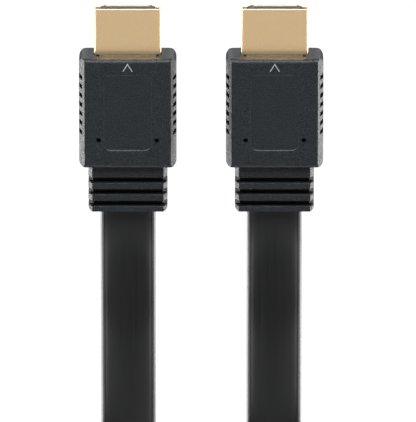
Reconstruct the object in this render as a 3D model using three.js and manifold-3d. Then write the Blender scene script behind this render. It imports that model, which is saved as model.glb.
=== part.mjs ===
// A flat cable with a moulded D-shaped video plug on each end, lying on a level floor.
// Millimetres. +X runs from plug a to plug b, +Y towards the plugs' tips, +Z up.
// The origin is on the floor, midway between the plugs and midway along their length.
import * as THREE from 'three';
import { mergeVertices } from 'three/addons/utils/BufferGeometryUtils.js';
import Module from 'manifold-3d';

const wasm = await Module();
wasm.setup();

// The two plugs.
const plug_spacing = 30.6;
const overmould_width = 20.3;
const overmould_thickness = 11.6;
const overmould_length = 23.4;
const overmould_front_y = 11.6;
const overmould_corner_radius = 1.3;
const side_chamfer_width = 1.15;
const side_chamfer_height = 2.2;
const end_edge_break = 0.45;

// The D-shaped metal shell.
const shell_width = 13.9;
const shell_height = 4.45;
const shell_exposed_length = 9.9;
const shell_embedded_length = 3;
const shell_wall = 0.35;
const shell_shoulder_width = 11.2;
const shell_shoulder_height = 1.5;
const shell_shoulder_rise = 0.12;
const shell_narrow_width = 9.8;
const shell_fit_clearance = 0.15;
const collar_wall = 0.5;
const collar_proud = 0.45;

// The block inside the shell, its slot and its contacts.
const insulator_clearance = 0.1;
const insulator_setback = 0.25;
const slot_width = 12;
const slot_narrow_width = 9.4;
const slot_height = 1.7;
const slot_step_height = 0.6;
const slot_depth = 8.6;
const slot_rise = 0.25;
const contact_pitch = 1;
const contact_width = 0.44;
const contact_thickness = 0.3;
const contact_length = 7.4;
const contact_sunk = 0.16;
const contact_clearance = 0.05;
const wide_row_count = 10;
const narrow_row_count = 9;

// Moulded details of the grip.
const grip_notch_count = 7;
const grip_notch_pitch = 1.95;
const grip_notch_first_y = 7.5;
const grip_notch_length = 0.83;
const grip_notch_slant = 0.28;
const grip_notch_depth = 0.52;
const grip_notch_height = 3.1;
const mould_hole_diameter = 1;
const mould_hole_depth = 1.6;
const mould_hole_spacing = 12.1;
const mould_hole_y = -5.75;
const chevron_width = 2.15;
const chevron_length = 1.75;
const chevron_stroke = 0.28;
const chevron_proud = 0.12;
const chevron_setback = 0.85;
const panel_width = 10.2;
const panel_length = 16.3;
const panel_front_y = 8.3;
const panel_corner_radius = 1.5;
const panel_depth = 0.12;

// The ribbed strain relief, part of the same moulding.
const relief_width = 16.5;
const relief_thickness = 8;
const relief_chamfer_width = 1.1;
const relief_chamfer_height = 1.6;
const relief_neck_length = 2.4;
const relief_groove_length = 1.1;
const relief_rib_length = 1.4;
const relief_end_length = 1.2;
const relief_groove_count = 3;
const relief_groove_depth = 1.8;
const relief_groove_side_depth = 0.2;
const relief_corner_radius = 0.9;
const relief_edge_break = 0.15;

// The flat cable and the hank that its spare length is wound into, standing on its edge.
const cable_width = 11.5;
const cable_thickness = 3.6;
const joint_gap = 0.3;
const turn_pitch = 4.15;
const hank_outer_run_x = 43;
const hank_turns_across = 3;
const hank_near_y = -158;
const hank_run_length = 86.5;
const hank_inner_run_end_y = -203;
const hank_lift = 1.1;
const hank_arc_segments = 20;
const leg_steps = 38;

// The straps round the hank's two sides.
const tie_length = 9;
const tie_thickness = 0.8;
const tie_clearance = 0.3;
const tie_corner_radius = 1.5;

const overlap_margin = 1;
const circle_segments = 20;
const corner_segments = 4;
const merge_distance = 1e-5;

const overmould_rear_y = overmould_front_y - overmould_length;
const shell_axis_z = overmould_thickness / 2;
const shell_tip_y = overmould_front_y + shell_exposed_length;
const relief_length = relief_neck_length + relief_groove_count * relief_groove_length
  + (relief_groove_count - 1) * relief_rib_length + relief_end_length;
const relief_end_y = overmould_rear_y - relief_length;
const hank_far_y = hank_near_y - hank_run_length;
const hank_middle_z = hank_lift + cable_width / 2;

// Each leg's route from its plug to the hank: x, y, z and the roll of the ribbon in degrees.
const plug_x = plug_spacing / 2;
const cable_exit_y = relief_end_y - joint_gap;
const leg_a_route = [
  [-plug_x, cable_exit_y, shell_axis_z, 0], [-plug_x, -29, shell_axis_z, 0], [-plug_x, -38, 4.5, 0],
  [-plug_x, -48, 2.7, 0], [-plug_x, -58, 2, 0], [-plug_x, -69, 2, 0], [-15.6, -79, 3.05, 10],
  [-17.4, -90, 4.85, 34], [-21.2, -101, 6.1, 60], [-26.5, -112, 6.4, 80], [-32.2, -123, 6.4, 90],
  [-37.4, -134, 6.6, 90], [-41.2, -145, 6.8, 90], [-42.8, -152, hank_middle_z, 90],
  [-hank_outer_run_x, hank_near_y + joint_gap, hank_middle_z, 90],
];
const leg_b_route = [
  [plug_x, cable_exit_y, shell_axis_z, 0], [plug_x, -29, shell_axis_z, 0], [plug_x, -38, 4.5, 0],
  [plug_x, -48, 2.7, 0], [plug_x, -58, 2, 0], [plug_x, -68, 2.1, 0], [plug_x, -78, 3.9, 0],
  [plug_x, -89, 7.8, 0], [plug_x, -100, 12.2, 0], [plug_x, -111, 14.7, 0], [15.4, -121, 15, 0],
  [15.9, -131, 14.6, 2], [17.6, -142, 13.2, 18], [21, -153, 11.1, 44], [25.5, -164, 8.9, 70],
  [29.9, -175, 7.5, 86], [33.1, -185, 6.95, 90], [34.6, -194, hank_middle_z, 90],
  [34.7, hank_inner_run_end_y + joint_gap, hank_middle_z, 90],
];

// Materials.
const plated_shell = new THREE.MeshStandardMaterial({ color: 0xcdb283, roughness: 0.32, metalness: 1 });
const plated_contact = new THREE.MeshStandardMaterial({ color: 0xd8b45c, roughness: 0.25, metalness: 1 });
const dark_insulator = new THREE.MeshStandardMaterial({ color: 0x3c3e46, roughness: 0.55, metalness: 0 });
const dark_moulding = new THREE.MeshStandardMaterial({ color: 0x2f3335, roughness: 0.6, metalness: 0 });
const cable_jacket = new THREE.MeshStandardMaterial({ color: 0x2b2d2e, roughness: 0.4, metalness: 0 });
const tie_fabric = new THREE.MeshStandardMaterial({ color: 0x1d1e1f, roughness: 0.9, metalness: 0 });

// A three.js geometry as a solid that can be joined and cut.
function solid(geometry) {
  const bare = geometry.clone();
  bare.deleteAttribute('normal');
  bare.deleteAttribute('uv');
  const merged = mergeVertices(bare, merge_distance);
  return new wasm.Manifold(new wasm.Mesh({
    numProp: 3,
    vertProperties: new Float32Array(merged.attributes.position.array),
    triVerts: new Uint32Array(merged.index.array),
  }));
}

// A joined or cut solid as a three.js geometry.
function geometryOf(body) {
  const mesh = body.getMesh();
  const geometry = new THREE.BufferGeometry();
  geometry.setAttribute('position', new THREE.BufferAttribute(mesh.vertProperties, 3));
  geometry.setIndex(new THREE.BufferAttribute(mesh.triVerts, 1));
  geometry.computeVertexNormals();
  return geometry;
}

function shapeOf(points) {
  return new THREE.Shape(points.map(([x, y]) => new THREE.Vector2(x, y)));
}

// A section drawn in X and Z, extruded along Y from rear to front, its end edges broken by bevel.
function alongY(shape, rear, front, bevel = 0) {
  const geometry = new THREE.ExtrudeGeometry(shape, {
    depth: front - rear - 2 * bevel,
    bevelEnabled: bevel > 0,
    bevelThickness: bevel,
    bevelSize: bevel,
    bevelOffset: -bevel,
    bevelSegments: 1,
    curveSegments: corner_segments,
  });
  geometry.rotateX(Math.PI / 2);
  geometry.translate(0, front - bevel, 0);
  return geometry;
}

// A plan drawn in X and Y, extruded up from low to high.
function alongZ(shape, low, high) {
  const geometry = new THREE.ExtrudeGeometry(shape, {
    depth: high - low, bevelEnabled: false, curveSegments: corner_segments,
  });
  geometry.translate(0, 0, low);
  return geometry;
}

// A rectangle with round corners, from its lowest to its highest corner.
function roundedRectangle(x0, y0, x1, y1, radius) {
  const shape = new THREE.Shape();
  shape.moveTo(x0 + radius, y0);
  shape.lineTo(x1 - radius, y0);
  shape.absarc(x1 - radius, y0 + radius, radius, -Math.PI / 2, 0);
  shape.lineTo(x1, y1 - radius);
  shape.absarc(x1 - radius, y1 - radius, radius, 0, Math.PI / 2);
  shape.lineTo(x0 + radius, y1);
  shape.absarc(x0 + radius, y1 - radius, radius, Math.PI / 2, Math.PI);
  shape.lineTo(x0, y0 + radius);
  shape.absarc(x0 + radius, y0 + radius, radius, Math.PI, 1.5 * Math.PI);
  return shape;
}

// A rectangle centred on the shell's axis, its long edges cut back by a chamfer.
function chamferedSection(width, thickness, chamferWidth, chamferHeight) {
  const x = width / 2;
  const z = thickness / 2;
  return shapeOf([
    [chamferWidth - x, -z], [x - chamferWidth, -z], [x, chamferHeight - z], [x, z - chamferHeight],
    [x - chamferWidth, z], [chamferWidth - x, z], [-x, z - chamferHeight], [-x, chamferHeight - z],
  ]);
}

// The shell's outer outline about its axis, wide side up, anticlockwise.
function shellOutline() {
  const x = shell_width / 2;
  const z = shell_height / 2;
  const shoulder_x = shell_shoulder_width / 2;
  const shoulder_z = shell_shoulder_height - z;
  const narrow_x = shell_narrow_width / 2;
  return [
    [-narrow_x, -z], [narrow_x, -z], [shoulder_x, shoulder_z], [x, shoulder_z + shell_shoulder_rise],
    [x, z], [-x, z], [-x, shoulder_z + shell_shoulder_rise], [-shoulder_x, shoulder_z],
  ];
}

// The same outline with every side moved outwards by a distance, or inwards by a negative one.
function moved(outline, distance) {
  const lines = outline.map(([x, y], i) => {
    const [nextX, nextY] = outline[(i + 1) % outline.length];
    const side = new THREE.Vector2(nextX - x, nextY - y).normalize();
    return { point: new THREE.Vector2(x + side.y * distance, y - side.x * distance), side };
  });
  return lines.map((line, i) => {
    const before = lines[(i + lines.length - 1) % lines.length];
    const gap = line.point.clone().sub(before.point);
    const along = gap.cross(line.side) / before.side.cross(line.side);
    return [before.point.x + before.side.x * along, before.point.y + before.side.y * along];
  });
}

function shellGeometry() {
  const rear = overmould_front_y - shell_embedded_length;
  const outer = solid(alongY(shapeOf(shellOutline()), rear, shell_tip_y));
  const inside = shapeOf(moved(shellOutline(), -shell_wall));
  const bore = solid(alongY(inside, rear - overlap_margin, shell_tip_y + overlap_margin));
  return geometryOf(outer.subtract(bore));
}

// Where each contact lies across the plug, and which wall of the slot holds it.
function contactPlaces() {
  const row = (count, wall) => Array.from({ length: count }, (_, i) => (
    { x: (i - (count - 1) / 2) * contact_pitch, wall }
  ));
  return [...row(wide_row_count, 1), ...row(narrow_row_count, -1)];
}

// A contact strip, or the groove that it lies in when a clearance is added round it.
function contactGeometry({ x, wall }, clearance) {
  const strip = new THREE.BoxGeometry(
    contact_width + 2 * clearance, contact_length + 2 * clearance, contact_thickness + 2 * clearance,
  );
  const wall_z = slot_rise + wall * slot_height / 2;
  const strip_z = wall_z + wall * (contact_sunk - contact_thickness / 2);
  const slot_end_y = shell_tip_y - insulator_setback - slot_depth;
  strip.translate(x, slot_end_y + contact_length / 2 + 2 * contact_clearance, strip_z);
  return strip;
}

function insulatorGeometry() {
  const front = shell_tip_y - insulator_setback;
  const outline = moved(shellOutline(), -(shell_wall + insulator_clearance));
  let block = solid(alongY(shapeOf(outline), overmould_front_y - shell_embedded_length, front));
  const low = slot_rise - slot_height / 2;
  const high = slot_rise + slot_height / 2;
  const step = low + slot_step_height;
  const slot = shapeOf([
    [-slot_narrow_width / 2, low], [slot_narrow_width / 2, low], [slot_narrow_width / 2, step],
    [slot_width / 2, step], [slot_width / 2, high], [-slot_width / 2, high],
    [-slot_width / 2, step], [-slot_narrow_width / 2, step],
  ]);
  block = block.subtract(solid(alongY(slot, front - slot_depth, front + overlap_margin)));
  for (const place of contactPlaces()) {
    block = block.subtract(solid(contactGeometry(place, contact_clearance)));
  }
  return geometryOf(block);
}

// One notch at the grip's right side, slanting rearwards by grip_notch_slant as it goes in.
function gripNotch(centreY) {
  const outer = overmould_width / 2 + overlap_margin;
  const inner = overmould_width / 2 - grip_notch_depth;
  const drop = grip_notch_slant / 2;
  const rise = drop + grip_notch_slant * overlap_margin / grip_notch_depth;
  const half = grip_notch_length / 2;
  return shapeOf([
    [outer, centreY + rise - half], [outer, centreY + rise + half],
    [inner, centreY - drop + half], [inner, centreY - drop - half],
  ]);
}

// The grip's notches at both sides, at its upper and its lower long edges.
function gripNotches() {
  const half = overmould_thickness / 2;
  const notches = [];
  for (let i = 0; i < grip_notch_count; i += 1) {
    const shape = gripNotch(grip_notch_first_y - i * grip_notch_pitch);
    const upper = alongZ(shape, half - grip_notch_height, half + overlap_margin);
    const lower = alongZ(shape, -half - overlap_margin, grip_notch_height - half);
    for (const right of [upper, lower]) {
      const body = solid(right);
      notches.push(body, body.mirror([1, 0, 0]));
    }
  }
  return notches;
}

// The raised arrow head behind the front edge, pointing at the tip.
function chevron() {
  const x = chevron_width / 2;
  const tip = overmould_front_y - chevron_setback;
  const foot = tip - chevron_length;
  const slope = Math.hypot(x, chevron_length);
  const inner_drop = chevron_stroke * slope / x;
  const inner_x = x - chevron_stroke * slope / chevron_length;
  return alongZ(shapeOf([
    [-x, foot], [-inner_x, foot], [0, tip - inner_drop], [inner_x, foot], [x, foot], [0, tip],
  ]), overmould_thickness / 2 - overlap_margin, overmould_thickness / 2 + chevron_proud);
}

// The shallow sunk panel on the wide face.
function sunkPanel() {
  const half = overmould_thickness / 2;
  const plan = roundedRectangle(
    -panel_width / 2, panel_front_y - panel_length, panel_width / 2, panel_front_y, panel_corner_radius,
  );
  return alongZ(plan, half - panel_depth, half + overlap_margin);
}

// The body of the grip: a chamfered section run along Y, trimmed to round corners in plan.
function gripBody() {
  const x = overmould_width / 2;
  const z = overmould_thickness / 2;
  const section = chamferedSection(
    overmould_width, overmould_thickness, side_chamfer_width, side_chamfer_height,
  );
  const bar = solid(alongY(section, overmould_rear_y, overmould_front_y, end_edge_break));
  const plan = roundedRectangle(-x, overmould_rear_y, x, overmould_front_y, overmould_corner_radius);
  return bar.intersect(solid(alongZ(plan, -z - overlap_margin, z + overlap_margin)));
}

// One length of the strain relief, thinner by inset where it is a groove.
function reliefStretch(rear, front, inset, side_inset, bevel) {
  const section = chamferedSection(
    relief_width - 2 * side_inset, relief_thickness - 2 * inset,
    relief_chamfer_width, relief_chamfer_height - inset / 2,
  );
  return solid(alongY(section, rear, front, bevel));
}

// The strain relief: a neck, grooves and ribs in turn, and an end rib with round corners in plan.
function strainRelief() {
  let relief = reliefStretch(
    relief_end_y + relief_edge_break, overmould_rear_y + overlap_margin,
    relief_groove_depth, relief_groove_side_depth, 0,
  );
  let front = overmould_rear_y + overlap_margin;
  let rear = overmould_rear_y - relief_neck_length;
  for (let i = 0; i <= relief_groove_count; i += 1) {
    relief = relief.add(reliefStretch(rear, front, 0, 0, relief_edge_break));
    front = rear - relief_groove_length;
    rear = front - (i + 1 < relief_groove_count ? relief_rib_length : relief_end_length);
  }
  const x = relief_width / 2;
  const plan = roundedRectangle(
    -x, relief_end_y, x, overmould_rear_y + 2 * overlap_margin, relief_corner_radius,
  );
  return relief.intersect(solid(alongZ(plan, -relief_thickness, relief_thickness)));
}

function overmouldGeometry() {
  const collar_outline = moved(shellOutline(), shell_fit_clearance + collar_wall);
  const collar = alongY(
    shapeOf(collar_outline), overmould_front_y - overlap_margin, overmould_front_y + collar_proud,
  );
  const pocket = alongY(
    shapeOf(moved(shellOutline(), shell_fit_clearance)),
    overmould_front_y - shell_embedded_length - shell_fit_clearance,
    overmould_front_y + collar_proud + overlap_margin,
  );
  let body = gripBody().add(strainRelief()).add(solid(collar)).subtract(solid(pocket));
  for (const side of [-1, 1]) {
    const hole = new THREE.CylinderGeometry(
      mould_hole_diameter / 2, mould_hole_diameter / 2, 2 * mould_hole_depth, circle_segments,
    );
    hole.rotateX(Math.PI / 2);
    hole.translate(side * mould_hole_spacing / 2, mould_hole_y, overmould_thickness / 2);
    body = body.subtract(solid(hole));
  }
  for (const notch of gripNotches()) {
    body = body.subtract(notch);
  }
  return geometryOf(body.subtract(solid(sunkPanel())).add(solid(chevron())));
}

// One leg of the cable: a flat section with round edges, run straight, then laid along its route.
function legGeometry(route) {
  const half_flat = (cable_width - cable_thickness) / 2;
  const section = new THREE.Shape();
  section.absarc(half_flat, 0, cable_thickness / 2, -Math.PI / 2, Math.PI / 2);
  section.absarc(-half_flat, 0, cable_thickness / 2, Math.PI / 2, 1.5 * Math.PI);
  const geometry = new THREE.ExtrudeGeometry(section, {
    depth: 1, steps: leg_steps, bevelEnabled: false, curveSegments: 2,
  });
  const centres = new THREE.CatmullRomCurve3(
    route.map(([x, y, z]) => new THREE.Vector3(x, y, z)), false, 'catmullrom', 0.5,
  );
  const rolls = new THREE.CatmullRomCurve3(
    route.map((row) => new THREE.Vector3(row[3], 0, 0)), false, 'catmullrom', 0.5,
  );
  const up = new THREE.Vector3(0, 0, 1);
  const place = geometry.attributes.position;
  for (let i = 0; i < place.count; i += 1) {
    const t = centres.getUtoTmapping(place.getZ(i));
    const along = centres.getTangent(t);
    const across = along.clone().cross(up).normalize();
    const above = across.clone().cross(along);
    const roll = THREE.MathUtils.degToRad(rolls.getPoint(t).x);
    const wide = across.clone().multiplyScalar(Math.cos(roll)).addScaledVector(above, Math.sin(roll));
    const thick = along.clone().cross(wide);
    const at = centres.getPoint(t)
      .addScaledVector(wide, place.getX(i)).addScaledVector(thick, place.getY(i));
    place.setXYZ(i, at.x, at.y, at.z);
  }
  geometry.computeVertexNormals();
  return geometry;
}

// The hank's turns as one ring on edge. Its far end holds every turn, and its near end one turn less,
// so the outer turn starts with a step at the left and the inner one ends with a step at the right.
function hankGeometry() {
  const half = cable_thickness / 2;
  const near_centre_x = turn_pitch / 2;
  const outer_radius = hank_outer_run_x + half;
  const inner_radius = hank_outer_run_x - (hank_turns_across - 1) * turn_pitch - half;
  const near_outer_radius = outer_radius - near_centre_x;
  const near_inner_radius = inner_radius + near_centre_x;
  const ring = new THREE.Shape();
  ring.moveTo(-outer_radius, hank_near_y);
  ring.lineTo(-outer_radius, hank_far_y);
  ring.absarc(0, hank_far_y, outer_radius, Math.PI, 2 * Math.PI);
  ring.lineTo(outer_radius, hank_near_y);
  ring.absarc(near_centre_x, hank_near_y, near_outer_radius, 0, Math.PI);
  const hollow = new THREE.Path();
  hollow.absarc(near_centre_x, hank_near_y, near_inner_radius, Math.PI, 0, true);
  hollow.lineTo(near_centre_x + near_inner_radius, hank_inner_run_end_y);
  hollow.lineTo(inner_radius, hank_inner_run_end_y);
  hollow.lineTo(inner_radius, hank_far_y);
  hollow.absarc(0, hank_far_y, inner_radius, 0, Math.PI, true);
  ring.holes.push(hollow);
  const geometry = new THREE.ExtrudeGeometry(ring, {
    depth: cable_width, bevelEnabled: false, curveSegments: hank_arc_segments,
  });
  geometry.translate(0, 0, hank_lift);
  return geometry;
}

// A strap round the turns at one side of the hank. Its underside is what the hank rests on.
function tieGeometry(side, y) {
  const outer_x = hank_outer_run_x + cable_thickness / 2 + tie_clearance;
  const inner_x = hank_outer_run_x - (hank_turns_across - 1) * turn_pitch
    - cable_thickness / 2 - tie_clearance;
  const low = hank_lift - tie_clearance;
  const high = hank_lift + cable_width + tie_clearance;
  const t = tie_thickness;
  const strap = solid(alongY(
    roundedRectangle(inner_x - t, low - t, outer_x + t, high + t, tie_corner_radius),
    y - tie_length / 2, y + tie_length / 2,
  ));
  const hole = solid(alongY(
    roundedRectangle(inner_x, low, outer_x, high, tie_corner_radius - t),
    y - tie_length, y + tie_length,
  ));
  const ring = strap.subtract(hole);
  return geometryOf(side > 0 ? ring : ring.mirror([1, 0, 0]));
}

function named(name, geometry, material) {
  const mesh = new THREE.Mesh(geometry, material.clone());
  mesh.name = name;
  return mesh;
}

// One plug, built about its shell's axis and then set in its place.
function plug(letter, x) {
  const group = new THREE.Group();
  group.add(named(`plug_${letter}_overmould`, overmouldGeometry(), dark_moulding));
  group.add(named(`plug_${letter}_shell`, shellGeometry(), plated_shell));
  group.add(named(`plug_${letter}_insulator`, insulatorGeometry(), dark_insulator));
  contactPlaces().forEach((place, i) => {
    const number = String(i + 1).padStart(2, '0');
    group.add(named(`plug_${letter}_contact_${number}`, contactGeometry(place, 0), plated_contact));
  });
  group.position.set(x, 0, shell_axis_z);
  return group;
}

const group = new THREE.Group();
group.add(plug('a', -plug_x));
group.add(plug('b', plug_x));
group.add(named('cable_leg_a', legGeometry(leg_a_route), cable_jacket));
group.add(named('cable_hank', hankGeometry(), cable_jacket));
group.add(named('cable_leg_b', legGeometry(leg_b_route), cable_jacket));
group.add(named('hank_tie_left', tieGeometry(-1, hank_near_y - hank_run_length / 2), tie_fabric));
group.add(named('hank_tie_right', tieGeometry(1, hank_near_y - hank_run_length / 2), tie_fabric));

export default group;
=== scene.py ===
import math

import bmesh
import bpy
from mathutils import Matrix, Vector


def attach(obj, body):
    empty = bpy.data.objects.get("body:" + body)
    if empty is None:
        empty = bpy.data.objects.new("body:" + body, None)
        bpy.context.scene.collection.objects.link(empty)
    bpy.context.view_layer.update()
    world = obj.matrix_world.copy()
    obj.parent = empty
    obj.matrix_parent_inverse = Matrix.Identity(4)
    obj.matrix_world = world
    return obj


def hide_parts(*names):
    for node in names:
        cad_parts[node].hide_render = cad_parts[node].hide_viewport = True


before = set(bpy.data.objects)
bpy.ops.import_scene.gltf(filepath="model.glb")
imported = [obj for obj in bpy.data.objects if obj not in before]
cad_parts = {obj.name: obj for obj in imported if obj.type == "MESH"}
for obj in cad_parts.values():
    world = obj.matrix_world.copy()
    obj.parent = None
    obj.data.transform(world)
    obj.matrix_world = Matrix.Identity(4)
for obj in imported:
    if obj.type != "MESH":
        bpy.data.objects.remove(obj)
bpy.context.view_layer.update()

# The camera. It looks down from two metres away with a long lens, so that both plugs are seen almost
# without perspective, and it leans towards their tips, so that their front faces show.
MM = 0.001
camera_lean = math.radians(14.5)
camera_distance = 2.0
view_centre = Vector((1.42, -22.4, 5.8)) * MM
view_height = 88.3 * MM

camera_data = bpy.data.cameras.new("camera")
camera_data.lens = camera_data.sensor_width * camera_distance / view_height
camera = bpy.data.objects.new("camera", camera_data)
towards_camera = Vector((0, math.sin(camera_lean), math.cos(camera_lean)))
camera.location = view_centre + camera_distance * towards_camera
camera.rotation_euler = (-camera_lean, 0, 0)
bpy.context.scene.collection.objects.link(camera)
bpy.context.scene.camera = camera

# The flat cable. It is one extruded black PVC ribbon with round edges and slightly domed faces. It
# runs straight out of each plug, settles on the floor and turns on its edge into the tied hank.
cable_width = 11.5 * MM
cable_thickness = 3.6 * MM
cable_shoulder = (4.25 * MM, 1.53 * MM)
cable_dome_slope = math.radians(7)
cable_edge_pull = 0.85 * MM
cable_dome_pull = 1.42 * MM
hank_middle_z = 6.85 * MM
turn_pitch = 4.15 * MM
outer_run_x = 43 * MM
near_y = -158 * MM
far_y = -244.5 * MM
near_centre_x = turn_pitch / 2
run_steps = 6
turn_steps = 12

# Each leg's points are x, y, z in metres and the ribbon's roll in degrees, from its plug to the hank.
leg_a_points = [
    (-0.0153, -0.0203, 0.0058, 0), (-0.0153, -0.029, 0.0058, 0), (-0.0153, -0.038, 0.0045, 0),
    (-0.0153, -0.048, 0.0027, 0), (-0.0153, -0.058, 0.002, 0), (-0.0153, -0.069, 0.002, 0),
    (-0.0156, -0.079, 0.00305, 10), (-0.0174, -0.09, 0.00485, 34), (-0.0212, -0.101, 0.0061, 60),
    (-0.0265, -0.112, 0.0064, 80), (-0.0322, -0.123, 0.0064, 90), (-0.0374, -0.134, 0.0066, 90),
    (-0.0412, -0.145, 0.0068, 90), (-0.0428, -0.152, 0.00685, 90),
]
leg_b_points = [
    (0.0153, -0.0203, 0.0058, 0), (0.0153, -0.029, 0.0058, 0), (0.0153, -0.038, 0.0045, 0),
    (0.0153, -0.048, 0.0027, 0), (0.0153, -0.058, 0.002, 0), (0.0153, -0.068, 0.0021, 0),
    (0.0153, -0.078, 0.0039, 0), (0.0153, -0.089, 0.0078, 0), (0.0153, -0.1, 0.0122, 0),
    (0.0153, -0.111, 0.0147, 0), (0.0154, -0.121, 0.015, 0), (0.0159, -0.131, 0.0146, 2),
    (0.0176, -0.142, 0.0132, 18), (0.021, -0.153, 0.0111, 44), (0.0255, -0.164, 0.0089, 70),
    (0.0299, -0.175, 0.0075, 86), (0.0331, -0.185, 0.00695, 90), (0.0346, -0.194, 0.00685, 90),
]
inner_run_end_y = -203 * MM


def run_points(x, start_y, end_y):
    """A straight run of the hank, without its last point."""
    step = (end_y - start_y) / run_steps
    return [(x, start_y + i * step, hank_middle_z, 90) for i in range(run_steps)]


def turn_points(centre_x, centre_y, radius, start):
    """A half turn of the hank, anticlockwise from the angle start, without its last point."""
    angles = [start + math.pi * i / turn_steps for i in range(turn_steps)]
    return [
        (centre_x + radius * math.cos(a), centre_y + radius * math.sin(a), hank_middle_z, 90)
        for a in angles
    ]


hank_points = []
for turn in range(3):
    x = outer_run_x - turn * turn_pitch
    hank_points += run_points(-x, near_y, far_y) + turn_points(0, far_y, x, math.pi)
    if turn < 2:
        hank_points += run_points(x, far_y, near_y)
        hank_points += turn_points(near_centre_x, near_y, x - near_centre_x, 0)
    else:
        hank_points += run_points(x, far_y, inner_run_end_y)

# The ribbon keeps turning the same way, so leg b's roll is counted on from the hank's 90 degrees.
cable_points = leg_a_points + hank_points + [
    (x, y, z, 180 - roll) for x, y, z, roll in reversed(leg_b_points)
]


def new_object(name, data):
    made = bpy.data.objects.new(name, data)
    bpy.context.scene.collection.objects.link(made)
    return made


def mesh_of(made):
    """The object's mesh with its modifiers or its curve's thickness worked in. The object goes."""
    evaluated = made.evaluated_get(bpy.context.evaluated_depsgraph_get())
    mesh = bpy.data.meshes.new_from_object(evaluated)
    bpy.data.objects.remove(made)
    return mesh


def cable_section():
    """Two slightly domed faces between two round edges, as a closed curve through eight points."""
    x, z = cable_shoulder
    rise = Vector((math.cos(cable_dome_slope), math.sin(cable_dome_slope)))
    fall = Vector((-rise.x, rise.y))
    edge_way = Vector((0, cable_edge_pull))
    top_way = Vector((-cable_dome_pull, 0))
    # Each row is a point, and how far the curve is pulled behind and ahead of it.
    half = [
        (Vector((cable_width / 2, 0)), edge_way, edge_way),
        (Vector((x, z)), fall * cable_edge_pull, fall * cable_dome_pull),
        (Vector((0, cable_thickness / 2)), top_way, top_way),
        (Vector((-x, z)), -rise * cable_dome_pull, -rise * cable_edge_pull),
    ]
    outline = half + [(-place, -back, -ahead) for place, back, ahead in half]
    data = bpy.data.curves.new("cable_section", "CURVE")
    data.dimensions = "2D"
    data.resolution_u = 5
    spline = data.splines.new("BEZIER")
    spline.use_cyclic_u = True
    spline.bezier_points.add(len(outline) - 1)
    for point, (place, back, ahead) in zip(spline.bezier_points, outline):
        point.co = place.to_3d()
        point.handle_left_type = point.handle_right_type = "FREE"
        point.handle_left = (place - back).to_3d()
        point.handle_right = (place + ahead).to_3d()
    return new_object("cable_section", data)


def laid_curve(name, points, section=None):
    """A smooth curve through the points, rolled as they say, and thick where it has a section."""
    data = bpy.data.curves.new(name, "CURVE")
    data.dimensions = "3D"
    data.twist_mode = "Z_UP"
    data.resolution_u = 6
    if section:
        data.bevel_mode = "OBJECT"
        data.bevel_object = section
        data.use_fill_caps = True
    spline = data.splines.new("BEZIER")
    spline.tilt_interpolation = "BSPLINE"
    spline.bezier_points.add(len(points) - 1)
    places = [Vector(row[:3]) for row in points]
    before = [2 * places[0] - places[1]] + places[:-1]
    after = places[1:] + [2 * places[-1] - places[-2]]
    for i, point in enumerate(spline.bezier_points):
        pull = (after[i] - before[i]) / 6
        point.co = places[i]
        point.handle_left_type = point.handle_right_type = "FREE"
        point.handle_left = places[i] - pull
        point.handle_right = places[i] + pull
        point.tilt = -math.radians(points[i][3])
    return new_object(name, data)


def grain_group():
    """Fine moulded or extruded grain: a height for a bump and a speckle for colour and gloss."""
    group = bpy.data.node_groups.new("fine_grain", "ShaderNodeTree")
    interface = group.interface
    interface.new_socket("Vector", in_out="INPUT", socket_type="NodeSocketVector")
    interface.new_socket("Grains per metre", in_out="INPUT", socket_type="NodeSocketFloat")
    interface.new_socket("Height", in_out="OUTPUT", socket_type="NodeSocketFloat")
    interface.new_socket("Speckle", in_out="OUTPUT", socket_type="NodeSocketFloat")
    nodes, links = group.nodes, group.links
    source = nodes.new("NodeGroupInput")
    result = nodes.new("NodeGroupOutput")
    fine = nodes.new("ShaderNodeTexNoise")
    fine.inputs["Detail"].default_value = 2
    pebbles = nodes.new("ShaderNodeTexVoronoi")
    pebbles.feature = "SMOOTH_F1"
    both = nodes.new("ShaderNodeMath")
    both.operation = "SUBTRACT"
    for texture in (fine, pebbles):
        links.new(source.outputs["Vector"], texture.inputs["Vector"])
        links.new(source.outputs["Grains per metre"], texture.inputs["Scale"])
    links.new(fine.outputs["Fac"], both.inputs[0])
    links.new(pebbles.outputs["Distance"], both.inputs[1])
    links.new(both.outputs["Value"], result.inputs["Height"])
    links.new(fine.outputs["Fac"], result.inputs["Speckle"])
    return group


fine_grain = grain_group()


def new_material(name):
    material = bpy.data.materials.new(name)
    material.use_nodes = True
    tree = material.node_tree
    return material, tree.nodes, tree.links, tree.nodes["Principled BSDF"]


def add_grain(nodes, links, vector, per_metre):
    grain = nodes.new("ShaderNodeGroup")
    grain.node_tree = fine_grain
    grain.inputs["Grains per metre"].default_value = per_metre
    links.new(vector, grain.inputs["Vector"])
    return grain


def add_range(nodes, links, value, low, high, new_low, new_high):
    """The value, taken from one range to another and held inside it."""
    node = nodes.new("ShaderNodeMapRange")
    for name, number in (("From Min", low), ("From Max", high), ("To Min", new_low), ("To Max", new_high)):
        node.inputs[name].default_value = number
    links.new(value, node.inputs["Value"])
    return node.outputs["Result"]


def add_bump(nodes, links, height, distance, strength, shader):
    bump = nodes.new("ShaderNodeBump")
    bump.inputs["Distance"].default_value = distance
    bump.inputs["Strength"].default_value = strength
    links.new(height, bump.inputs["Height"])
    links.new(bump.outputs["Normal"], shader.inputs["Normal"])
    return bump


def add_colours(nodes, links, value, dark, light, shader):
    """Between two colours by the value, into the shader's base colour."""
    mix = nodes.new("ShaderNodeMix")
    mix.data_type = "RGBA"
    mix.inputs["A"].default_value = (*dark, 1)
    mix.inputs["B"].default_value = (*light, 1)
    links.new(value, mix.inputs["Factor"])
    links.new(mix.outputs["Result"], shader.inputs["Base Color"])
    return mix


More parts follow.
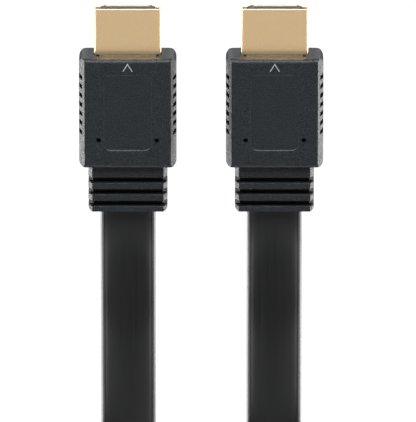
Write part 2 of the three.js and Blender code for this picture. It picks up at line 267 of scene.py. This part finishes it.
def jacket_material():
    """Satin black PVC, with faint lengthwise drawing lines and a fine bloom."""
    material, nodes, links, shader = new_material("cable_jacket")
    coordinates = nodes.new("ShaderNodeTexCoord")
    stretch = nodes.new("ShaderNodeMapping")
    stretch.inputs["Scale"].default_value = (30, 90, 1)
    links.new(coordinates.outputs["UV"], stretch.inputs["Vector"])
    lines = nodes.new("ShaderNodeTexNoise")
    lines.inputs["Scale"].default_value = 1
    lines.inputs["Detail"].default_value = 3
    links.new(stretch.outputs["Vector"], lines.inputs["Vector"])
    grain = add_grain(nodes, links, coordinates.outputs["Object"], 9000)
    streak = lines.outputs["Fac"]
    add_colours(nodes, links, streak, (0.0035, 0.0036, 0.0038), (0.0055, 0.0057, 0.006), shader)
    links.new(add_range(nodes, links, streak, 0.3, 0.7, 0.27, 0.34), shader.inputs["Roughness"])
    shader.inputs["Specular IOR Level"].default_value = 0.3
    add_bump(nodes, links, grain.outputs["Height"], 0.000002, 0.4, shader)
    return material


section = cable_section()
cable_line = mesh_of(laid_curve("cable_line", cable_points))
cable_mesh = mesh_of(laid_curve("flat_cable_curve", cable_points, section))
bpy.data.objects.remove(section)
cable_shape = bmesh.new()
cable_shape.from_mesh(cable_mesh)
bmesh.ops.remove_doubles(cable_shape, verts=cable_shape.verts, dist=0.001 * MM)
bmesh.ops.recalc_face_normals(cable_shape, faces=cable_shape.faces)
cable_shape.to_mesh(cable_mesh)
cable_shape.free()
cable = new_object("flat_cable", cable_mesh)
cable.data.materials.clear()
cable.data.materials.append(jacket_material())
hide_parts("cable_leg_a", "cable_hank", "cable_leg_b")
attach(cable, "root")

# The ties. Each is a strap of hook-and-loop tape, about 9 mm wide, wrapped once round the three turns
# and pressed down on itself over the top and the outer side, where its round end stays free.
tie_width = 9
tie_thickness = 0.65
tie_lap = 0.71
tie_low = (32.75, 0.75)
tie_high = (44.95, 12.75)
tie_corner = 1.5
tie_edge = 0.12
tie_start_x = 35.8
tie_start_lift = 0.1
tie_step = 0.4
tie_step_radius = 4
tie_end_z = 4.6
tie_end_radius = 3
tie_middle_y = -201.25


def rounded_line(corners, radii, steps=5):
    """A line in two dimensions through the corners, turned at each on an arc of its radius."""
    line = [Vector(corners[0])]
    for before, corner, after, radius in zip(corners, corners[1:], corners[2:], radii):
        corner = Vector(corner)
        back = (Vector(before) - corner).normalized()
        ahead = (Vector(after) - corner).normalized()
        half = back.angle(ahead) / 2
        centre = corner + (back + ahead).normalized() * radius / math.sin(half)
        first = corner + back * radius / math.tan(half) - centre
        last = corner + ahead * radius / math.tan(half) - centre
        turn = first.angle_signed(last)
        for i in range(steps + 1):
            angle = math.atan2(first.y, first.x) - turn * i / steps
            line.append(centre + radius * Vector((math.cos(angle), math.sin(angle))))
    return line + [Vector(corners[-1])]


def in_metres(shape, name):
    """A shape drawn in millimetres as a mesh in metres."""
    bmesh.ops.scale(shape, vec=(MM, MM, MM), verts=shape.verts)
    mesh = bpy.data.meshes.new(name)
    shape.to_mesh(mesh)
    shape.free()
    return mesh


def tie_mesh(name, side):
    """The strap's inner face, laid edge by edge along its way round, then thickened outwards."""
    low_x, low_z = tie_low
    high_x, high_z = tie_high
    corners = [
        (tie_start_x, high_z), (high_x, high_z), (high_x, low_z), (low_x, low_z),
        (low_x, high_z + tie_start_lift), (tie_start_x - tie_step, high_z + tie_lap),
        (high_x + tie_lap, high_z + tie_lap), (high_x + tie_lap, tie_end_z),
    ]
    radii = 4 * [tie_corner] + [tie_step_radius, tie_corner + tie_lap]
    line = rounded_line(corners, radii)
    shape = bmesh.new()
    x, z = line[0]
    ends = [shape.verts.new((side * x, tie_middle_y + k * tie_width / 2, z)) for k in (-1, 1)]
    edge = shape.edges.new(ends)
    for here, there in zip(line, line[1:]):
        step = there - here
        made = bmesh.ops.extrude_edge_only(shape, edges=[edge])["geom"]
        edge = next(item for item in made if isinstance(item, bmesh.types.BMEdge))
        bmesh.ops.translate(shape, vec=(side * step.x, 0, step.y), verts=edge.verts)
    bmesh.ops.bevel(
        shape, geom=list(edge.verts), offset=tie_end_radius, segments=5, profile=0.5,
        affect="VERTICES", material=-1,
    )
    bmesh.ops.recalc_face_normals(shape, faces=shape.faces)
    return in_metres(shape, name)


def tape_material():
    """Black hook-and-loop tape: a pile of fine loops between two narrow woven edges."""
    material, nodes, links, shader = new_material("loop_tape")
    coordinates = nodes.new("ShaderNodeTexCoord")
    loops = nodes.new("ShaderNodeTexVoronoi")
    loops.feature = "F1"
    loops.inputs["Scale"].default_value = 2600
    links.new(coordinates.outputs["Object"], loops.inputs["Vector"])
    pile = add_grain(nodes, links, coordinates.outputs["Object"], 900)
    height = nodes.new("ShaderNodeMath")
    height.operation = "MULTIPLY_ADD"
    height.inputs[1].default_value = -0.7
    links.new(loops.outputs["Distance"], height.inputs[0])
    links.new(pile.outputs["Speckle"], height.inputs[2])
    add_colours(nodes, links, height.outputs["Value"], (0.006, 0.006, 0.007), (0.03, 0.03, 0.032), shader)
    shader.inputs["Roughness"].default_value = 0.9
    shader.inputs["Sheen Weight"].default_value = 0.3
    add_bump(nodes, links, height.outputs["Value"], 0.00025, 0.8, shader)
    return material


loop_tape = tape_material()
for name, side, node in (("tie_left", -1, "hank_tie_left"), ("tie_right", 1, "hank_tie_right")):
    tie = new_object(name, tie_mesh(name, side))
    thickness = tie.modifiers.new("thickness", "SOLIDIFY")
    thickness.thickness = tie_thickness * MM
    thickness.offset = 1
    edges = tie.modifiers.new("edges", "BEVEL")
    edges.width = tie_edge * MM
    edges.segments = 2
    edges.angle_limit = math.radians(50)
    tie.data.materials.append(loop_tape)
    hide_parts(node)
    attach(tie, "root")

# The grips. Each is moulded over the back of its connector in one shot of black PVC, together with
# the ribbed strain relief that holds the cable. They are drawn about the connector's axis.
plug_x = 15.3
axis_z = 5.8
plug_sides = {"a": -1, "b": 1}
grip_width = 20.3
grip_height = 11.6
grip_front_y = 11.6
grip_rear_y = -11.8
grip_corner = 1.3
grip_edge = 0.95
chamfer_width = 1.15
chamfer_height = 2.2
nose_inset = 1.35
nose_height = 5.9
nose_rise = 0.25
crown = 0.085
crown_strips = 8
crown_strip_width = 1.1
relief_width = 16.5
relief_height = 8
relief_end_y = -21.5
relief_chamfer_width = 0.8
relief_chamfer_height = 1.5
relief_corner = 0.9
relief_neck = 2.4
groove_length = 1.1
groove_count = 3
rib_length = 1.4
groove_depth = 1.8
groove_side_depth = 0.2
rib_edge = 0.3
overlap = 1


def add_box(shape, low, high):
    """A box between two corners, and its vertices."""
    low, high = Vector(low), Vector(high)
    verts = bmesh.ops.create_cube(shape, size=1)["verts"]
    bmesh.ops.scale(shape, vec=high - low, verts=verts)
    bmesh.ops.translate(shape, vec=(low + high) / 2, verts=verts)
    return verts


def edges_of(verts):
    return list({edge for vert in verts for edge in vert.link_edges})


def running_along(edges, axis):
    """Those of the edges that run along an axis: 0 is X, 1 is Y and 2 is Z."""
    return [e for e in edges if abs((e.verts[0].co - e.verts[1].co).normalized()[axis]) > 0.99]


def round_edges(shape, edges, radius, segments):
    bmesh.ops.bevel(
        shape, geom=edges, offset=radius, segments=segments, profile=0.5, affect="EDGES",
        material=-1, clamp_overlap=True,
    )


def slice_at(shape, point, normal, trim=False):
    """Cut all faces along a plane, and with trim also cut off what lies beyond it and close the cut."""
    whole = shape.verts[:] + shape.edges[:] + shape.faces[:]
    cut = bmesh.ops.bisect_plane(
        shape, geom=whole, dist=1e-5, plane_co=point, plane_no=normal, clear_outer=trim,
    )["geom_cut"]
    if trim:
        rim = [item for item in cut if isinstance(item, bmesh.types.BMEdge)]
        bmesh.ops.edgeloop_fill(shape, edges=rim)


def chamfer_sides(shape, width, height, chamfer_x, chamfer_z):
    """Cut back the four long edges of a bar that runs along Y."""
    for side in (-1, 1):
        for level in (-1, 1):
            point = (side * width / 2, 0, level * (height / 2 - chamfer_z))
            slice_at(shape, point, (side * chamfer_z, 0, level * chamfer_x), trim=True)


def grip_body():
    """A block with round edges and cut-back sides, a hipped front and a crowned upper face."""
    shape = bmesh.new()
    x, z = grip_width / 2, grip_height / 2
    add_box(shape, (-x, grip_rear_y, -z), (x, grip_front_y, z))
    round_edges(shape, running_along(shape.edges, 2), grip_corner, 6)
    level = [e for e in shape.edges if abs(e.verts[0].co.z - e.verts[1].co.z) < 0.01]
    round_edges(shape, level, grip_edge, 5)
    chamfer_sides(shape, grip_width, grip_height, chamfer_width, chamfer_height)
    front = max(shape.faces, key=lambda face: face.calc_center_median().y)
    bmesh.ops.inset_region(shape, faces=[front], thickness=nose_inset, use_even_offset=True)
    flat_height = grip_height - 2 * grip_edge - 2 * nose_inset
    bmesh.ops.scale(shape, vec=(1, 1, nose_height / flat_height), verts=front.verts)
    bmesh.ops.translate(shape, vec=(0, nose_rise, 0), verts=front.verts)
    for i in range(-crown_strips, crown_strips + 1):
        slice_at(shape, (crown_strip_width * i, 0, 0), (1, 0, 0))
    for vert in shape.verts:
        vert.co.z *= 1 - crown * (vert.co.x / x) ** 4
    return shape


def relief_body():
    """A chamfered bar with three grooves round it and round corners at the cable's end."""
    shape = bmesh.new()
    x, z = relief_width / 2, relief_height / 2
    add_box(shape, (-x, relief_end_y, -z), (x, grip_rear_y + overlap, z))
    rear = [e for e in running_along(shape.edges, 2) if e.verts[0].co.y < grip_rear_y]
    round_edges(shape, rear, relief_corner, 5)
    chamfer_sides(shape, relief_width, relief_height, relief_chamfer_width, relief_chamfer_height)
    grooves = []
    for i in range(groove_count):
        front = grip_rear_y - relief_neck - i * (groove_length + rib_length)
        grooves.append((front - groove_length, front))
        slice_at(shape, (0, front, 0), (0, 1, 0))
        slice_at(shape, (0, front - groove_length, 0), (0, 1, 0))
    lips = [e for e in shape.edges if any(
        all(abs(v.co.y - y) < 1e-4 for v in e.verts) for groove in grooves for y in groove
    )]
    bands = [f for f in shape.faces if any(
        low < f.calc_center_median().y < high for low, high in grooves
    )]
    made = bmesh.ops.extrude_face_region(shape, geom=bands)["geom"]
    bmesh.ops.delete(shape, geom=bands, context="FACES")
    floor_verts = [item for item in made if isinstance(item, bmesh.types.BMVert)]
    bmesh.ops.scale(
        shape, vec=(1 - groove_side_depth / x, 1, 1 - groove_depth / z), verts=floor_verts,
    )
    round_edges(shape, lips, rib_edge, 2)
    return shape


chevron_width = 2.15
chevron_length = 1.75
chevron_stroke = 0.2
chevron_proud = 0.2
chevron_setback = 0.85
chevron_edge = 0.1
panel_width = 10.2
panel_length = 16.3
panel_front_y = 8.3
panel_corner = 1.5
panel_depth = 0.16
panel_slope = 0.4
hole_radius = 0.5
hole_depth = 1.6
hole_spacing = 12.1
hole_y = -5.75
notch_count = 7
notch_pitch = 1.95
notch_first_y = 7.5
notch_length = 0.93
notch_depth = 0.68
notch_height = 3.1
notch_slant = 0.54
nick_radius = 0.32
nick_x = 6.2
nick_gap = 0.2
socket_width = 11.56
socket_height = 3.66
socket_corner = 1.5
socket_depth = 1.5

# The connector shell about its axis, wide side up. The grip's pocket has the same outline.
shell_width = 13.9
shell_height = 4.45
shell_shoulder_width = 11.2
shell_shoulder_height = 1.5
shell_shoulder_rise = 0.12
shell_narrow_width = 9.8
shell_rear_y = 8.6
shell_tip_y = 21.5
shell_corner = 0.45
shell_fit = 0.12


def raised_chevron():
    """A raised arrow head that points at the tip, standing on the upper face."""
    shape = bmesh.new()
    x = chevron_width / 2
    tip = grip_front_y - chevron_setback
    foot = tip - chevron_length
    slope = math.hypot(x, chevron_length)
    inner_x = x - chevron_stroke * slope / chevron_length
    inner_tip = tip - chevron_stroke * slope / x
    outline = [(-x, foot), (-inner_x, foot), (0, inner_tip), (inner_x, foot), (x, foot), (0, tip)]
    floor_z = grip_height / 2 - overlap / 2
    base = shape.faces.new([shape.verts.new((px, py, floor_z)) for px, py in outline])
    top = bmesh.ops.extrude_face_region(shape, geom=[base])["geom"]
    lifted = [item for item in top if isinstance(item, bmesh.types.BMVert)]
    bmesh.ops.translate(shape, vec=(0, 0, chevron_proud + overlap / 2), verts=lifted)
    bmesh.ops.recalc_face_normals(shape, faces=shape.faces)
    ridge = [e for e in shape.edges if min(v.co.z for v in e.verts) > grip_height / 2]
    round_edges(shape, ridge, chevron_edge, 2)
    return shape


def shell_face(shape, y, margin, corner):
    """The D-shaped outline as one face across Y, made larger all round by a margin."""
    x, z = shell_width / 2, shell_height / 2
    shoulder_z = shell_shoulder_height - z
    half = [
        (shell_narrow_width / 2, -z - margin),
        (shell_shoulder_width / 2 + margin / 2, shoulder_z - margin),
        (x + margin, shoulder_z + shell_shoulder_rise - margin), (x + margin, z + margin),
    ]
    outline = half + [(-px, pz) for px, pz in reversed(half)]
    verts = [shape.verts.new((px, y, pz)) for px, pz in outline]
    face = shape.faces.new(verts)
    bmesh.ops.bevel(
        shape, geom=verts, offset=corner, segments=4, profile=0.5, affect="VERTICES", material=-1,
    )
    return max(shape.faces, key=lambda each: each.calc_area())


def pull_face(shape, face, vec):
    """Extrude a face on its own, and give back the new face's vertices."""
    made = bmesh.ops.extrude_face_region(shape, geom=[face])["geom"]
    verts = [item for item in made if isinstance(item, bmesh.types.BMVert)]
    bmesh.ops.translate(shape, vec=vec, verts=verts)
    return verts


def notch_cutters(shape):
    """Slanting notches at the sides, from the wide faces down to a floor of their own."""
    x, z = grip_width / 2 - notch_depth, grip_height / 2
    for i in range(notch_count):
        y = notch_first_y - i * notch_pitch
        for side in (-1, 1):
            for level in (-1, 1):
                verts = add_box(
                    shape, (x, y - notch_length / 2, z - notch_height),
                    (x + overlap, y + notch_length / 2, z + overlap),
                )
                for vert in verts:
                    vert.co.y += notch_slant * (vert.co.x - grip_width / 2 + notch_depth / 2)
                bmesh.ops.scale(shape, vec=(side, 1, level), verts=verts)


def cutting_tools():
    """All that is cut out of the grip: pocket, nicks, notches, holes, panel and cable socket."""
    shape = bmesh.new()
    pocket = shell_face(shape, shell_rear_y - shell_fit, shell_fit, shell_corner)
    pull_face(shape, pocket, (0, grip_front_y - shell_rear_y + 2 * overlap, 0))
    z = grip_height / 2
    for side in (-1, 1):
        for radius, x, y, low, high in (
            (hole_radius, hole_spacing / 2, hole_y, z - hole_depth, z + overlap),
            (nick_radius, nick_x, grip_front_y + nose_rise, shell_height / 2 + nick_gap, z),
        ):
            bmesh.ops.create_cone(
                shape, cap_ends=True, segments=24, radius1=radius, radius2=radius, depth=high - low,
                matrix=Matrix.Translation((side * x, y, (low + high) / 2)),
            )
    panel_y = panel_front_y - panel_length / 2
    panel = add_box(
        shape, (-panel_width / 2, panel_y - panel_length / 2, z - panel_depth),
        (panel_width / 2, panel_y + panel_length / 2, z + panel_depth),
    )
    round_edges(shape, running_along(edges_of(panel), 2), panel_corner, 6)
    for level in (-1, 1):
        wider = 1 + level * panel_slope / panel_width, 1 + level * panel_slope / panel_length, 1
        bmesh.ops.scale(
            shape, vec=wider, space=Matrix.Translation((0, -panel_y, 0)),
            verts=[v for v in shape.verts if abs(v.co.z - z - level * panel_depth) < 1e-4],
        )
    x, z = socket_width / 2, socket_height / 2
    socket = add_box(
        shape, (-x, relief_end_y - overlap, -z), (x, relief_end_y + socket_depth, z),
    )
    round_edges(shape, running_along(edges_of(socket), 1), socket_corner, 5)
    notch_cutters(shape)
    bmesh.ops.recalc_face_normals(shape, faces=shape.faces)
    return shape


def kept_mesh(shape, name):
    """A shape as a mesh in its own units."""
    mesh = bpy.data.meshes.new(name)
    shape.to_mesh(mesh)
    shape.free()
    return mesh


def combined(name, body, joined, taken):
    """The body with some shapes joined on and one cut away."""
    base = new_object(name, kept_mesh(body, name))
    others = []
    for operation, shape in [("UNION", each) for each in joined] + [("DIFFERENCE", taken)]:
        other = new_object(name + "_other", kept_mesh(shape, name + "_other"))
        cut = base.modifiers.new(operation.lower(), "BOOLEAN")
        cut.operation = operation
        cut.solver = "EXACT"
        cut.object = other
        others.append(other)
    mesh = mesh_of(base)
    for other in others:
        bpy.data.objects.remove(other)
    return mesh


def placed_copy(mesh, name, side):
    """A copy of a mesh that was drawn about the connector's axis, in metres and in its plug's place."""
    copy = mesh.copy()
    copy.name = name
    copy.transform(Matrix.Scale(MM, 4) @ Matrix.Translation((side * plug_x, 0, axis_z)))
    return new_object(name, copy)


def moulded_material():
    """Black moulded PVC with the fine grain of a spark-eroded mould. The front face is duller, and what
    stands above the upper face, which is the chevron, is painted lighter: a painted highlight in place of
    the light its edges catch."""
    material, nodes, links, shader = new_material("moulded_grip")
    coordinates = nodes.new("ShaderNodeTexCoord")
    place = nodes.new("ShaderNodeSeparateXYZ")
    links.new(coordinates.outputs["Object"], place.inputs["Vector"])
    grain = add_grain(nodes, links, coordinates.outputs["Object"], 4200)
    speckle = add_range(nodes, links, grain.outputs["Speckle"], 0.35, 0.65, 0, 1)
    colours = add_colours(nodes, links, speckle, (0.0008, 0.0016, 0.0026), (0.0125, 0.015, 0.0172), shader)
    top_z = (axis_z + grip_height / 2) * MM
    # Painted highlight: the raised chevron gets a light grey base colour, standing in for the light that
    # its edges catch.
    painted_chevron_highlight = nodes.new("ShaderNodeMix")
    painted_chevron_highlight.data_type = "RGBA"
    painted_chevron_highlight.inputs["B"].default_value = (0.2, 0.205, 0.21, 1)
    raised = add_range(nodes, links, place.outputs["Z"], top_z, top_z + 0.02 * MM, 0, 1)
    links.new(raised, painted_chevron_highlight.inputs["Factor"])
    links.new(colours.outputs["Result"], painted_chevron_highlight.inputs["A"])
    links.new(painted_chevron_highlight.outputs["Result"], shader.inputs["Base Color"])
    front_y = grip_front_y * MM
    blur = 0.1 * MM
    dull = add_range(nodes, links, place.outputs["Y"], front_y - blur, front_y + blur, 0, 0.14)
    gloss = add_range(nodes, links, grain.outputs["Speckle"], 0.35, 0.65, 0.46, 0.33)
    rough = nodes.new("ShaderNodeMath")
    rough.operation = "ADD"
    links.new(gloss, rough.inputs[0])
    links.new(dull, rough.inputs[1])
    links.new(rough.outputs["Value"], shader.inputs["Roughness"])
    shader.inputs["Specular IOR Level"].default_value = 0.2
    add_bump(nodes, links, grain.outputs["Height"], 0.0001, 0.7, shader)
    return material


grip_mesh = combined("grip_mesh", grip_body(), [relief_body(), raised_chevron()], cutting_tools())
grip_mesh.shade_smooth()
grip_mesh.set_sharp_from_angle(angle=math.radians(28))
moulded_grip = moulded_material()
for letter, side in plug_sides.items():
    grip = placed_copy(grip_mesh, f"grip_{letter}", side)
    grip.modifiers.new("flat_faces", "WEIGHTED_NORMAL").keep_sharp = True
    grip.data.materials.clear()
    grip.data.materials.append(moulded_grip)
    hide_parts(f"plug_{letter}_overmould")
    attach(grip, "root")

# The shells. Each is a thin steel sheet rolled into a D-shaped sleeve and plated with gold, pushed
# 3 mm into its grip. Its front edge is rounded so that it finds its socket.
shell_wall = 0.35
shell_rim = 0.12


def shell_sleeve():
    shape = bmesh.new()
    start = shell_face(shape, shell_rear_y, 0, shell_corner)
    pull_face(shape, start, (0, shell_tip_y - shell_rear_y, 0))
    ends = [f for f in shape.faces if max(v.co.y for v in f.verts) - min(v.co.y for v in f.verts) < 0.01]
    bmesh.ops.delete(shape, geom=ends, context="FACES")
    bmesh.ops.recalc_face_normals(shape, faces=shape.faces)
    bmesh.ops.solidify(shape, geom=shape.faces[:], thickness=shell_wall)
    front = [
        e for e in shape.edges if all(v.co.y > shell_tip_y - 0.01 for v in e.verts)
        and any(abs(f.normal.y) < 0.5 for f in e.link_faces)
    ]
    round_edges(shape, front, shell_rim, 3)
    return shape


def plate_material():
    """Satin gold plate over drawn steel, with faint marks along its length."""
    material, nodes, links, shader = new_material("gold_plate")
    coordinates = nodes.new("ShaderNodeTexCoord")
    stretch = nodes.new("ShaderNodeMapping")
    stretch.inputs["Scale"].default_value = (5, 1, 5)
    links.new(coordinates.outputs["Object"], stretch.inputs["Vector"])
    grain = add_grain(nodes, links, stretch.outputs["Vector"], 900)
    speckle = add_range(nodes, links, grain.outputs["Speckle"], 0.3, 0.7, 0, 1)
    add_colours(nodes, links, speckle, (0.95, 0.69, 0.385), (0.99, 0.725, 0.415), shader)
    rough = add_range(nodes, links, grain.outputs["Speckle"], 0.3, 0.7, 0.28, 0.36)
    links.new(rough, shader.inputs["Roughness"])
    shader.inputs["Metallic"].default_value = 1
    add_bump(nodes, links, grain.outputs["Height"], 0.000003, 0.3, shader)
    return material


shell_mesh = kept_mesh(shell_sleeve(), "shell_mesh")
shell_mesh.shade_smooth()
shell_mesh.set_sharp_from_angle(angle=math.radians(40))
gold_plate = plate_material()
for letter, side in plug_sides.items():
    shell = placed_copy(shell_mesh, f"shell_{letter}", side)
    shell.modifiers.new("flat_faces", "WEIGHTED_NORMAL").keep_sharp = True
    shell.data.materials.append(gold_plate)
    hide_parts(f"plug_{letter}_shell")
    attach(shell, "root")

# The insulators. Each is a block moulded of black glass-filled nylon that fills the shell, with a
# slot for the socket's tongue and a groove for every contact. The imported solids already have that
# shape, so they stay and get their finish here.
def nylon_material():
    """Black glass-filled nylon with a dull, slightly mottled skin."""
    material, nodes, links, shader = new_material("glass_filled_nylon")
    coordinates = nodes.new("ShaderNodeTexCoord")
    grain = add_grain(nodes, links, coordinates.outputs["Object"], 3000)
    speckle = add_range(nodes, links, grain.outputs["Speckle"], 0.3, 0.7, 0, 1)
    add_colours(nodes, links, speckle, (0.03, 0.031, 0.037), (0.045, 0.046, 0.054), shader)
    shader.inputs["Roughness"].default_value = 0.5
    add_bump(nodes, links, grain.outputs["Height"], 0.00001, 0.5, shader)
    return material


nylon = nylon_material()
for letter in plug_sides:
    block = bpy.data.objects[f"plug_{letter}_insulator"]
    block.data.materials.clear()
    block.data.materials.append(nylon)

# The contacts. Nineteen gold-plated bronze springs lie in the slot of each plug, ten along its wide
# side and nine along the narrow one, each bent back at its tip so that it slides onto the tongue.
contact_pitch = 1
contact_width = 0.44
contact_thickness = 0.18
contact_length = 7.4
contact_rear_y = 12.75
contact_wall_z = {1: 1.1, -1: -0.6}
contact_counts = {1: 10, -1: 9}
contact_bow = 0.24
contact_cuts = 12
slot_middle_z = 0.25


def contact_set():
    """Both rows of springs, each spring bowed into the slot near its tip."""
    shape = bmesh.new()
    for wall, count in contact_counts.items():
        for i in range(count):
            x = (i - (count - 1) / 2) * contact_pitch
            z = contact_wall_z[wall]
            add_box(
                shape, (x - contact_width / 2, contact_rear_y, z - contact_thickness / 2),
                (x + contact_width / 2, contact_rear_y + contact_length, z + contact_thickness / 2),
            )
    along_y = running_along(shape.edges, 1)
    bmesh.ops.subdivide_edges(shape, edges=along_y, cuts=contact_cuts, use_grid_fill=True)
    for vert in shape.verts:
        along = (vert.co.y - contact_rear_y) / contact_length
        bow = math.sin(math.pi * along ** 2) * contact_bow
        vert.co.z -= math.copysign(bow, vert.co.z - slot_middle_z)
    return shape


contact_mesh = kept_mesh(contact_set(), "contact_mesh")
for letter, side in plug_sides.items():
    contacts = placed_copy(contact_mesh, f"contacts_{letter}", side)
    contacts.data.materials.append(gold_plate)
    numbers = range(1, sum(contact_counts.values()) + 1)
    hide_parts(*[f"plug_{letter}_contact_{number:02d}" for number in numbers])
    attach(contacts, "root")


# The studio: a white table seen only by the camera, with soft boxes all round and a dim room. Some
# boxes stand below the table, in place of the light that a white table throws back.
def soft_box(name, towards, width, height, radiance, distance=1.5):
    """A rectangular light of that radiance, facing the plugs from the direction given."""
    data = bpy.data.lights.new(name, "AREA")
    data.shape = "RECTANGLE"
    data.size = width
    data.size_y = height
    data.energy = radiance * math.pi * width * height
    lamp = new_object(name, data)
    direction = Vector(towards).normalized()
    lamp.location = direction * distance
    lamp.rotation_euler = direction.to_track_quat("Z", "Y").to_euler()
    return lamp


def direction_of(aside, ahead):
    """A direction turned from straight up by one angle towards +X and by another towards +Y."""
    aside, ahead = math.radians(aside), math.radians(ahead)
    return (math.sin(aside) * math.cos(ahead), math.sin(ahead), math.cos(aside) * math.cos(ahead))


for name, aside, ahead, width, height, radiance in (
    ("overhead_box", 0, -12, 0.5, 0.5, 0.45),
    ("upper_side_box", 20, -22, 0.5, 0.5, 1.2),
    ("rear_side_box", 40, -27, 0.5, 0.6, 4),
    ("side_box", 90, -20, 0.5, 1.0, 6),
    ("low_side_box", 128, -18, 0.9, 0.8, 8.5),
):
    soft_box(name + "_left", direction_of(-aside, ahead), width, height, radiance)
    soft_box(name + "_right", direction_of(aside, ahead), width, height, radiance)
soft_box("front_box", direction_of(0, 52), 1.9, 0.8, 17)
soft_box("low_front_box", direction_of(0, 145), 2.0, 1.4, 1.6)
soft_box("rear_box", direction_of(0, -76), 1.0, 0.4, 9)

floor_gap = 0.05 * MM
paper_white = 1.05
floor_mesh = bpy.data.meshes.new("floor")
floor_shape = bmesh.new()
bmesh.ops.create_grid(floor_shape, x_segments=1, y_segments=1, size=4)
bmesh.ops.translate(floor_shape, vec=(0, 0, -floor_gap), verts=floor_shape.verts)
floor_shape.to_mesh(floor_mesh)
floor_shape.free()
floor = new_object("floor", floor_mesh)
floor_material, nodes, links, shader = new_material("pale_floor")
shader.inputs["Base Color"].default_value = (0, 0, 0, 1)
shader.inputs["Roughness"].default_value = 1
shader.inputs["Emission Color"].default_value = (1, 1, 1, 1)
shader.inputs["Emission Strength"].default_value = paper_white
floor.data.materials.append(floor_material)
floor.visible_diffuse = False
floor.visible_glossy = False
floor.visible_shadow = False

world = bpy.data.worlds.new("room")
world.use_nodes = True
nodes, links = world.node_tree.nodes, world.node_tree.links
room = nodes["Background"]
room.inputs["Color"].default_value = (0.1, 0.1, 0.1, 1)
backdrop = nodes.new("ShaderNodeBackground")
backdrop.inputs["Color"].default_value = (1, 1, 1, 1)
backdrop.inputs["Strength"].default_value = paper_white
seen = nodes.new("ShaderNodeLightPath")
choice = nodes.new("ShaderNodeMixShader")
links.new(seen.outputs["Is Camera Ray"], choice.inputs["Fac"])
links.new(room.outputs["Background"], choice.inputs[1])
links.new(backdrop.outputs["Background"], choice.inputs[2])
links.new(choice.outputs["Shader"], nodes["World Output"].inputs["Surface"])
bpy.context.scene.world = world
bpy.context.scene.view_settings.view_transform = "Standard"
